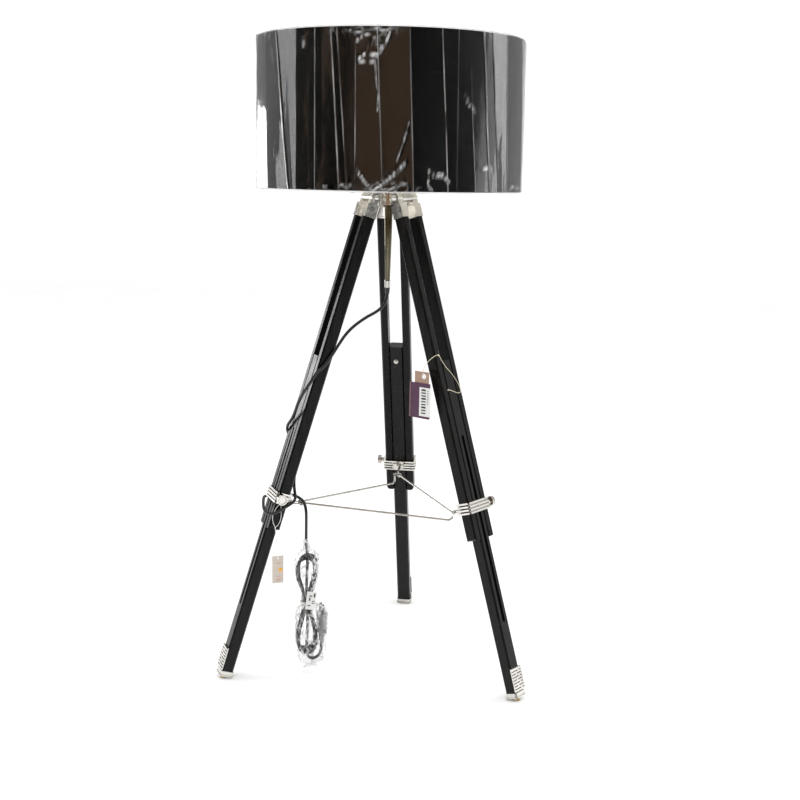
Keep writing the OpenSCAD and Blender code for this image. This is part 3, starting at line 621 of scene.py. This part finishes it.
STROKES = []
for pts, tall in CRUMPLES:
    mm = [(math.radians(x) * FILM_R * 1000, y * (FILM_Z1 - FILM_Z0) * 1000) for x, y in pts]
    STROKES += [(p, q, tall) for p, q in zip(mm, mm[1:])]


def crumple_at(ang, v):
    """Height in millimetres and milkiness of the crumples at a place on the film; the milkiness is
    partly painted highlight.
    """
    x, y = math.radians(ang) * FILM_R * 1000, v * (FILM_Z1 - FILM_Z0) * 1000
    tall, whitening_and_glint = 0.0, 0.0
    for (x0, y0), (x1, y1), h in STROKES:
        if min(x0, x1) - 5 < x < max(x0, x1) + 5 and min(y0, y1) - 5 < y < max(y0, y1) + 5:
            dx, dy = x1 - x0, y1 - y0
            t = min(1, max(0, ((x - x0) * dx + (y - y0) * dy) / (dx * dx + dy * dy)))
            d = math.hypot(x - x0 - dx * t, y - y0 - dy * t)
            tall = max(tall, h * max(0, 1 - d / 3.2))
            whitening_and_glint = max(whitening_and_glint, h / 2.0 * max(0, 1 - d / 1.9))
    fade = noise.noise(Vector((x * 0.09, y * 0.09, 4.2)))
    return tall, whitening_and_glint * min(1, max(0.1, 0.6 + 1.5 * fade))


def film_rise(k, u, v, ang):
    """Stand-off in metres and milkiness, partly painted highlight on the creases; v runs from the
    bottom (0) to the top (1).
    """
    a, b = FOLDS[k], FOLDS[k + 1]
    left, right = a[3] + (a[2] - a[3]) * v, b[3] + (b[2] - b[3]) * v
    wide = math.radians((b[1] - a[1]) + ((b[0] - a[0]) - (b[1] - a[1])) * v)
    sag = FILM_R * 1000 * wide * wide / 8
    off = max(0.3, left + (right - left) * u - 0.6 * sag * 4 * u * (1 - u))
    whitening_and_glint = 0.0
    for f, d in ((a, u), (b, 1 - u)):
        far = d * wide * FILM_R * 1000
        crease = f[5] + (f[4] - f[5]) * v
        wob = 0.55 + 0.9 * abs(noise.noise(Vector((f[0] * 3.1, v * 7, 1.7))))
        off += 1.3 * crease * wob * max(0, 1 - far / (0.9 + 0.9 * crease))
        fade = 0.5 + 1.3 * noise.noise(Vector((f[0] * 1.7, v * 3.5, 8.1)))
        whitening_and_glint = max(whitening_and_glint, 0.6 * crease * min(1, max(0.06, fade)) * max(0, 1 - far / 1.2))
    tall, white = crumple_at(ang, v)
    return (off + tall) / 1000, max(whitening_and_glint, white)


# Rows of the film: millimetres outward of it, millimetres past its edge where it is turned
# in over the rim, and share of the height
film_rows = [(-9, -0.4, 0.0), (-4, -0.9, 0.0), (-1, -0.8, 0.0), (0.3, 0.0, 0.0)]
wall = [0.004, 0.011, 0.02, 0.03, 0.042, 0.056, 0.072, 0.09, 0.11, 0.135]
wall += [0.135 + (0.865 - 0.135) * i / 36 for i in range(1, 37)]
wall += [1 - w for w in reversed(wall[:9])]
film_rows += [(0.3, None, w) for w in wall]
film_rows += [(0.3, 0.0, 1.0), (-1, 0.8, 1.0), (-4, 1.1, 1.0), (-9, 0.9, 1.0)]

cols = film_columns()
verts, faces, whitening_and_glint = [], [], []
for k, u in cols:
    a, b = FOLDS[k], FOLDS[k + 1]
    for i, (dr, dz, v) in enumerate(film_rows):
        ang = (a[0] + (b[0] - a[0]) * u) * v + (a[1] + (b[1] - a[1]) * u) * (1 - v)
        az = math.radians(FRONT + ang)
        rise, white = film_rise(k, u, v, ang)
        edge = min(v, 1 - v)
        where = Vector((math.cos(az), math.sin(az), v * 1.1)) * 0.255
        centre = math.exp(-((ang + 7) / 11) ** 2) if v > 0.5 else math.exp(-((ang + 1) / 12) ** 2)
        bunch = 0.25 + 0.9 * centre + 0.8 * max(0, noise.noise(where * 22))
        mask = bunch * math.exp(-edge / 0.1)
        crumple = abs(noise.noise(where * 95)) + 0.6 * abs(noise.noise(where * 210))
        thread = max(0, 1 - 9 * abs(noise.noise(where * 60))) * max(0, mask - 0.35)
        ripple = noise.noise(Vector((where.x * 26, where.y * 26, where.z * 7)))
        broad = noise.noise(Vector((where.x * 11, where.y * 11, where.z * 5 + 2)))
        rise += 0.0019 * mask * crumple + 0.00035 * ripple + 0.0011 * (broad + 0.3)
        z = FILM_Z0 + (FILM_Z1 - FILM_Z0) * v
        if dz is not None:
            z += dz / 1000
            wave = noise.noise(Vector((math.cos(az) * 14, math.sin(az) * 14, 3 + v)))
            z += (1 if v > 0.5 else -1) * max(0, 0.0011 * wave * abs(dr) / 4)
            rise *= 0.6 if dr > 0 else 0.25
            thread += 0.25 + 0.5 * max(0, noise.noise(where * 40))
        # Milky white at folds, crumples and the turned-in rims: partly whitening of the film, partly
        # painted highlight.
        whitening_and_glint.append(max(white, 0.6 * thread))
        r = FILM_R + dr / 1000 + max(rise, 0.0002 if dr > 0 else 0)
        verts.append(Vector((AX + r * math.cos(az), AY + r * math.sin(az), z)))
rows = len(film_rows)
count = len(cols)
for j in range(count):
    for i in range(rows - 1):
        a, b = j * rows + i, ((j + 1) % count) * rows + i
        faces.append((a, b, b + 1, a + 1))
film = add_mesh("shade_wrap_film", verts, faces, [M["film"]])
set_crease(film, whitening_and_glint)
thicken(film, 0.00015)

# ---- Bag round the hank, its tie and its label ----

# Height, middle outward of the hank, middle towards the front, half width and half depth
BAG = [
    (281, 5, 3, 2.6, 1.6), (277, 4, 2, 5.0, 4.0), (272, 2, 2, 4.4, 4.2), (266, 2, 3, 5.2, 5.2),
    (260, 1, 3, 7.5, 8), (253, 0, 2, 17, 11), (244, 0, 1, 22.5, 12.5), (225, 0, 0, 23.5, 14),
    (203, 0, 0, 22, 14), (184, 0, 0, 16, 13), (168, 0, 0, 11.5, 11.5), (155, 0, 0, 10.4, 10.6),
    (149, 0, 0, 10.2, 10.2), (145, -5, 0, 16, 12), (139, -9, 1, 28, 14), (122, -10, 1, 32, 16),
    (96, -10, 1, 32.5, 17), (72, -9, 1, 31, 17.5), (52, -9, 2, 28.5, 17.5), (38, -9, 4, 27, 16.5),
    (29, -10, 4, 24, 13.5), (24, -9, 3, 15, 8), (20, -8, 2, 10, 3.5), (14, -7, 2, 14, 2.2),
]
whitening_and_glint = []
stations = catmull([Vector((b[0], b[1], b[2])) for b in BAG], 6)
widths = catmull([Vector((b[3], b[4], 0)) for b in BAG], 6)
verts, faces = [], []
AROUND = 84
for i, (mid, wid) in enumerate(zip(stations, widths)):
    z = mid.x
    gather = math.exp(-((z - 150) / 16) ** 2) + math.exp(-((z - 268) / 14) ** 2)
    gather += math.exp(-((z - 20) / 12) ** 2)
    for k in range(AROUND):
        t = 2 * math.pi * k / AROUND
        cu = math.copysign(abs(math.cos(t)) ** 0.85, math.cos(t))
        cv = math.copysign(abs(math.sin(t)) ** 0.85, math.sin(t))
        u, v = wid.x * cu, wid.y * cv
        p = Vector((u, v, z)) / 1000
        pleat = 1.2 * gather * math.cos(9 * t + 0.12 * z)
        long = Vector((p.x + 0.35 * p.z, p.y - 0.2 * p.z, p.z * 0.4)) * 95
        across = Vector((p.x - 0.3 * p.z, p.y + 0.3 * p.z, p.z * 0.55)) * 170
        ridge = 1 - 2 * abs(noise.noise(long + Vector((3, 7, 1))))
        small = 1 - 2 * abs(noise.noise(across + Vector((9, 2, 4))))
        out = pleat + (1 - 0.75 * min(gather, 1)) * (2.4 * ridge * ridge + 1.2 * small - 0.9)
        reach = math.hypot(u, v)
        grow = (reach + out) / reach
        # Milky web lines and gathered pleats: partly whitening of the bag film, partly painted
        # highlight on its crinkles.
        web = max(0, 1 - 8 * abs(noise.noise(long + Vector((3, 7, 1)))))
        web = max(web, 0.85 * max(0, 1 - 7 * abs(noise.noise(across + Vector((9, 2, 4))))))
        patch = min(1, max(0, 0.8 + 1.4 * noise.noise(p * 40)))
        whitening_and_glint.append(0.95 * web * patch
                    + 0.25 * min(1, gather) * (0.5 + 0.5 * math.cos(9 * t + 0.12 * z)))
        verts.append(hank_pt(mid.y + u * grow, mid.z + v * grow, z + 1.2 * small * (1 - gather)))
for i in range(len(stations) - 1):
    for k in range(AROUND):
        a, b = i * AROUND + k, i * AROUND + (k + 1) % AROUND
        faces.append((a, b, b + AROUND, a + AROUND))
bag = add_mesh("cord_bag", verts, faces, [M["bag"]])
set_crease(bag, whitening_and_glint)
thicken(bag, 0.00012)

tie_line = []
for k in range(61):
    t = 2 * math.pi * 2.4 * k / 60
    tie_line.append(hank_pt(12.0 * math.cos(t), 11.8 * math.sin(t), 148.5 + 4 * k / 60))
tie = tube("bag_tie", tie_line, 0.0009, [M["paper"]], 8, 2.2)
for n, (du, dv, dz) in enumerate(((16, 9, 6), (13, 12, -8))):
    ends = [hank_pt(6, 11, 150.5), hank_pt(9, 13, 150.5 + dz * 0.2), hank_pt(13, 15, 150.5 + dz * 0.6),
            hank_pt(du + 3, dv + 5, 150.5 + dz)]
    piece = tube(f"bag_tie_end_{n + 1}", catmull(ends, 6), 0.0008, [M["paper"]], 8, 2.0)
    piece.parent = tie

LO, LT, UP = axes_of(L)
lean = math.radians(9)
lab_u = (LO * math.cos(lean) + UP * math.sin(lean)).normalized()
lab_v = (UP * math.cos(lean) - LO * math.sin(lean)).normalized()
lab_c = hank_pt(-4, 17.5, 158)


def curved_card(name, centre, u_ax, v_ax, w_ax, size, mats, thick=0.0003, curl=0.0, cells=(8, 12)):
    """A thin card on two axes, curled about its upright axis."""
    nu, nv = cells
    vs, fs = [], []
    for side in (0.5, -0.5):
        for j in range(nv + 1):
            for i in range(nu + 1):
                x, y = (i / nu - 0.5), (j / nv - 0.5)
                bend = curl * (4 * x * x - 0.5) + curl * 0.3 * math.sin(3 * y)
                vs.append(centre + u_ax * (x * size[0]) + v_ax * (y * size[1])
                          + w_ax * (side * thick - bend))
    layer = (nu + 1) * (nv + 1)
    for j in range(nv):
        for i in range(nu):
            a = j * (nu + 1) + i
            q = (a, a + 1, a + nu + 2, a + nu + 1)
            fs.append(q)
            fs.append(tuple(layer + n for n in reversed(q)))
    rim = [i for i in range(nu + 1)] + [(j + 1) * (nu + 1) - 1 for j in range(1, nv + 1)]
    rim += [nv * (nu + 1) + i for i in range(nu - 1, -1, -1)]
    rim += [j * (nu + 1) for j in range(nv - 1, 0, -1)]
    for a, b in zip(rim, rim[1:] + rim[:1]):
        fs.append((b, a, a + layer, b + layer))
    return add_mesh(name, vs, fs, mats, smooth=False)


def printed(name, parent, centre, axes, size, ink, cells=(1, 1)):
    """A plain printed mark on a card."""
    curved_card(name, centre, *axes, size, [M[ink]], 0.0001, 0.0, cells).parent = parent


label = curved_card("bag_label", lab_c, lab_u, lab_v, LT, (0.021, 0.036), [M["paper"]], curl=0.0022)
for n, (x, y, w, h) in enumerate(((-4.5, 11, 3, 8), (3.5, 9.5, 5, 2), (4.5, 3, 2.6, 6),
                                  (-3.5, -1, 6, 1.6), (-3.5, -5, 6, 1.6), (3, -10, 8, 2))):
    lift = 0.0018 - 0.0022 * (x / 10.5) ** 2
    printed(f"bag_label_mark_{n + 1}", label,
            lab_c + lab_u * (x / 1000) + lab_v * (y / 1000) + LT * lift,
            (lab_u, lab_v, LT), (w / 1000, h / 1000), "ink", (2, 2))

# ---- Price tag ----

R_AZ = LEG_AZ["right"]
RO, RT, _ = axes_of(R_AZ)


def holed_card(name, centre, u_ax, v_ax, w_ax, size, hole, hole_r, mats, thick=0.0006):
    """A rectangular card with a round hole, on two axes."""
    hx, hy = hole
    sx, sy = size[0] / 2, size[1] / 2
    angles = [2 * math.pi * k / 64 for k in range(64)]
    for cx, cy in ((sx, sy), (-sx, sy), (-sx, -sy), (sx, -sy)):
        want = math.atan2(cy - hy, cx - hx) % (2 * math.pi)
        near = min(range(64), key=lambda q: abs(angles[q] - want))
        angles[near] = want
    vs, fs = [], []
    for side in (0.5, -0.5):
        for ring in (0, 0.4, 1):
            for t in angles:
                c, s = math.cos(t), math.sin(t)
                far = min((sx - hx) / c if c > 1e-9 else (-sx - hx) / c if c < -1e-9 else 9,
                          (sy - hy) / s if s > 1e-9 else (-sy - hy) / s if s < -1e-9 else 9)
                d = hole_r + (far - hole_r) * ring
                vs.append(centre + u_ax * (hx + c * d) + v_ax * (hy + s * d) + w_ax * (side * thick))
    for ring in range(2):
        for k in range(64):
            a, b = ring * 64 + k, ring * 64 + (k + 1) % 64
            fs.append((a, b, b + 64, a + 64))
            fs.append((b + 192, a + 192, a + 256, b + 256))
    for base in (0, 128):
        for k in range(64):
            a, b = base + k, base + (k + 1) % 64
            q = (a, a + 192, b + 192, b)
            fs.append(q if base == 0 else tuple(reversed(q)))
    return add_mesh(name, vs, fs, mats, smooth=False)


kraft = holed_card("price_tag_card", axis_pt(R_AZ, 125, -45, 605), RO, UP, RT, (0.034, 0.03),
                   (0.005, 0.006), 0.0042, [M["kraft"]])
ring_pts = [axis_pt(R_AZ, 130 + 4.9 * math.cos(2 * math.pi * k / 40), -45.4,
                    611 + 4.9 * math.sin(2 * math.pi * k / 40)) for k in range(41)]
eyelet = tube("price_tag_eyelet", ring_pts, 0.0009, [M["paper"]], 8, 0.6)
eyelet.parent = kraft
purple = curved_card("price_tag_sleeve", axis_pt(R_AZ, 121, -46.2, 564), RO, UP, -RT,
                     (0.05, 0.068), [M["purple"]], 0.0006, 0.0006)
tilt = math.radians(5)
fold_u = (RO * math.cos(tilt) - RT * math.sin(tilt)).normalized()
back_leaf = curved_card("price_tag_back_leaf", axis_pt(R_AZ, 117.5, -42.5, 562.5), fold_u, UP, -RT,
                        (0.05, 0.068), [M["magenta"]], 0.0006, 0.0006)
spine = curved_card("price_tag_fold", axis_pt(R_AZ, 98.6, -46.75, 564), RO, UP, -RT,
                    (0.0011, 0.067), [M["kraft"]], 0.0002, 0.0, (1, 12))
white = curved_card("price_tag_label", axis_pt(R_AZ, 134.5, -47.0, 562), RO, UP, -RT,
                    (0.027, 0.056), [M["paper"]], 0.0002, 0.0003)
for piece in (purple, back_leaf, spine, white):
    piece.parent = kraft
for n in range(9):
    printed(f"price_tag_bar_{n + 1}", kraft, axis_pt(R_AZ, 131.5, -47.35, 585 - 5.6 * n),
            (RO, UP, -RT), (0.0105, 0.0024 if n % 3 else 0.0034), "ink", (2, 1))
for n in range(7):
    printed(f"price_tag_tick_{n + 1}", kraft, axis_pt(R_AZ, 141.5, -47.3, 584 - 4.1 * n),
            (RO, UP, -RT), (0.0032, 0.0013), "ink")

price_route = [(349, -43.4, -12), (346.2, -45.2, -12.7), (341, -47.6, -12), (335, -47.5, -9.5),
               (327, -45, -5), (319, -40, 3), (314, -34, 10.5), (312, -28, 13.8), (312.5, -22, 14.2),
               (317, -18, 14), (325, -14, 13.8), (338, -5, 13.4), (352, 8, 13.2), (367, 18, 13.2),
               (380, 23.5, 13.4), (388, 23, 13.6), (391, 17, 13.4), (388, 6, 13.2), (383, -6, 13.2),
               (381, -14, 13.2)]
TWINE = 0.0006
price_line = resample(catmull([leg_pt(R_AZ, *p) for p in price_route], 10), 0.0015)
price_string = tube("price_tag_string", price_line, TWINE, [M["string"]], 8)


def knot_at(name, centre, axis, mats, size=0.0014):
    """A small tight knot: a few turns of twine about an axis."""
    side = axis.orthogonal().normalized()
    up = axis.cross(side)
    pts = []
    for k in range(49):
        t = 2 * math.pi * 2.6 * k / 48
        r = size * (0.75 + 0.35 * math.sin(math.pi * k / 48))
        pts.append(centre + side * (r * math.cos(t)) + up * (r * math.sin(t))
                   + axis * (0.0028 * (k / 48 - 0.5)))
    return tube(name, pts, TWINE, mats, 8)


knot = knot_at("price_tag_knot", leg_pt(R_AZ, 312.5, -22, 14.4),
               (price_line[20] - price_line[18]).normalized(), [M["string"]])
end_knot = knot_at("price_tag_end_knot", price_line[-1], (price_line[-1] - price_line[-3]).normalized(),
                   [M["string"]], 0.0009)

# ---- Care tag ----

care = holed_card("care_tag_card", axis_pt(L, 231, 24, 219), LO, UP, LT, (0.023, 0.056),
                  (0.0, 0.0225), 0.0014, [M["cream"]], 0.0004)
blot = []
for k in range(28):
    t = 2 * math.pi * k / 28
    r = 5.2 * (0.82 + 0.18 * math.cos(7 * t) + 0.08 * math.sin(3 * t))
    blot.append(axis_pt(L, 226 + r * math.cos(t), 24.35, 218 + r * math.sin(t)))
mid_pt = axis_pt(L, 226, 24.35, 218)
care_blot = add_mesh("care_tag_blot", blot + [mid_pt], [(k, (k + 1) % 28, 28) for k in range(28)],
                     [M["amber"]], smooth=False)
care_blot.parent = care
for n, (z, w) in enumerate(((232, 9), (205, 8), (199, 11), (195, 7))):
    printed(f"care_tag_line_{n + 1}", care, axis_pt(L, 230, 24.33, z), (LO, UP, LT),
            (w / 1000, 0.0009), "rust")
care_routes = {
    "care_tag_string": [(621, 33, 5), (628, 33.6, 9), (638, 34, 12), (650, 34, 11.5),
                        (660, 33.4, 7), (667, 32.4, 1)],
    "care_tag_string_back": [(621, 33, 3), (630, 33.6, 0), (642, 34, -4), (654, 33.6, -5.5),
                             (663, 33, -3.5), (669, 32, -1)],
}
care_strings = []
for n, (name, pts) in enumerate(care_routes.items()):
    dx = 0.5 - n
    route = [leg_pt(L, *p) for p in pts]
    route += [axis_pt(L, 236 + dx, 29.5, 292), axis_pt(L, 233.5 + dx, 26.5, 268),
              axis_pt(L, 231.4 + dx, 25.2, 248), axis_pt(L, 231, 24.3 + dx * 0.4, 240)]
    care_line = resample(catmull(route, 10), 0.0015)
    care_strings.append((tube(name, care_line, 0.0005, [M["white_twine"]], 8), care_line))

# ---- Light ----

bpy.context.scene.view_settings.view_transform = "Standard"
world = bpy.data.worlds.new("studio")
bpy.context.scene.world = world
world.use_nodes = True
world.cycles.sampling_method = "NONE"
wt = world.node_tree
wt.nodes.clear()
wout = wt.nodes.new("ShaderNodeOutputWorld")
bg_room = wt.nodes.new("ShaderNodeBackground")
bg_white = wt.nodes.new("ShaderNodeBackground")
bg_white.inputs[0].default_value = (1, 1, 1, 1)
bg_white.inputs[1].default_value = 1.08
path = wt.nodes.new("ShaderNodeLightPath")
wmix = wt.nodes.new("ShaderNodeMixShader")
wt.links.new(path.outputs["Is Glossy Ray"], wmix.inputs[0])
wt.links.new(bg_white.outputs[0], wmix.inputs[1])
wt.links.new(bg_room.outputs[0], wmix.inputs[2])
wt.links.new(wmix.outputs[0], wout.inputs[0])
# The room that gloss sees: dim in front, where the photographer stands, with soft boxes at
# both sides and white behind. Angles run from the front to the right.
wtc = wt.nodes.new("ShaderNodeTexCoord")


def along(az):
    """How far the ray points towards an azimuth."""
    dot = wt.nodes.new("ShaderNodeVectorMath")
    dot.operation = "DOT_PRODUCT"
    dot.inputs[1].default_value = (math.cos(math.radians(az)), math.sin(math.radians(az)), 0)
    wt.links.new(wtc.outputs["Generated"], dot.inputs[0])
    return dot.outputs["Value"]


bearing = math_of(wt, "ARCTAN2", along(FRONT + 90), along(FRONT))
ROOM = [
    (-180, (1, 1, 1)), (-163, (0.6, 0.6, 0.6)), (-152, (0.36, 0.36, 0.36)),
    (-112, (0.34, 0.34, 0.34)), (-100, (0.5, 0.5, 0.5)), (-84, (0.75, 0.75, 0.75)),
    (-80, (0.03, 0.03, 0.03)), (-69, (0.012, 0.011, 0.01)),
    (-66, (0.34, 0.25, 0.18)), (-59, (0.3, 0.21, 0.15)), (-56, (0.01, 0.009, 0.008)),
    (-36, (0.02, 0.016, 0.013)), (-29, (0.3, 0.19, 0.12)), (-12, (0.34, 0.21, 0.13)),
    (-5, (0.1, 0.065, 0.04)), (2, (0.36, 0.22, 0.13)), (12, (0.3, 0.19, 0.12)),
    (15, (0.008, 0.007, 0.006)), (28, (0.01, 0.01, 0.01)), (42, (0.07, 0.075, 0.075)),
    (52, (0.03, 0.03, 0.03)), (70, (0.12, 0.12, 0.12)), (82, (0.2, 0.2, 0.2)),
    (88, (1.25, 1.25, 1.25)), (106, (1.05, 1.05, 1.05)), (114, (0.5, 0.5, 0.5)),
    (150, (0.34, 0.34, 0.34)), (163, (0.6, 0.6, 0.6)), (180, (1, 1, 1)),
]
around = ramp(wt, map_range(wt, bearing, -math.pi, math.pi, 0, 1),
              [((deg + 180) / 360, col) for deg, col in ROOM])
height = wt.nodes.new("ShaderNodeSeparateXYZ")
wt.links.new(wtc.outputs["Generated"], height.inputs[0])
ceiling = map_range(wt, height.outputs["Z"], 0.55, 0.72, 0, 1)
wt.links.new(mix_colors(wt, ceiling, around, (0.95, 0.95, 0.95)), bg_room.inputs[0])


def area_light(name, az, el, dist, size, power, target=(0, 0, 0.7), gloss=False):
    """A white soft box that faces a target; without gloss it leaves no reflection."""
    data = bpy.data.lights.new(name, "AREA")
    data.shape = "RECTANGLE"
    data.size, data.size_y = size
    data.energy = power
    ob = bpy.data.objects.new(name, data)
    bpy.context.scene.collection.objects.link(ob)
    a, e = math.radians(az), math.radians(el)
    tgt = Vector((AX + target[0], AY + target[1], target[2]))
    back = Vector((math.cos(a) * math.cos(e), math.sin(a) * math.cos(e), math.sin(e)))
    ob.location = tgt + back * dist
    ob.rotation_mode = "QUATERNION"
    ob.rotation_quaternion = back.to_track_quat("Z", "Y")
    ob.visible_glossy = gloss


area_light("key_left", FRONT - 98, 15, 3.0, (1.2, 2.6), 30)
area_light("key_right", FRONT + 100, 18, 3.0, (1.2, 2.6), 34)
area_light("strip_back_left", FRONT - 136, 4, 6.0, (1.9, 1.05), 34, (-0.25, -0.1, 0.46), True)
area_light("top", FRONT + 10, 72, 3.0, (2.5, 2.5), 22)

# ---- Floor ----

floor = add_mesh("floor", [(-8, -8, 0), (8, -8, 0), (8, 8, 0), (-8, 8, 0)], [(0, 1, 2, 3)], [])
fm, fnt, fb = material("pale_floor")
nt_noise = noise_tex(fnt, coords(fnt), 3, 4)
fnt.links.new(ramp(fnt, nt_noise, [(0.3, (0.93, 0.93, 0.93)), (0.7, (0.95, 0.95, 0.95))]),
              fb.inputs["Base Color"])
fb.inputs["Roughness"].default_value = 0.9
floor.data.materials.append(fm)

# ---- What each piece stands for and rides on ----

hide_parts("cord_drape", "cord_wrap", "cord_hank")
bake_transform(cord)

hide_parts("shade_film")
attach(film, "shade")

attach(bag, "left_leg")
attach(tie, "left_leg")
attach(label, "left_leg")

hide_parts("price_tag")
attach(kraft, "right_leg")
for piece in (knot, end_knot, price_string):
    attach(piece, "right_leg")

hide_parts("care_tag")
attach(care, "left_leg")
for piece, path_pts in care_strings:
    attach(piece, "left_leg")
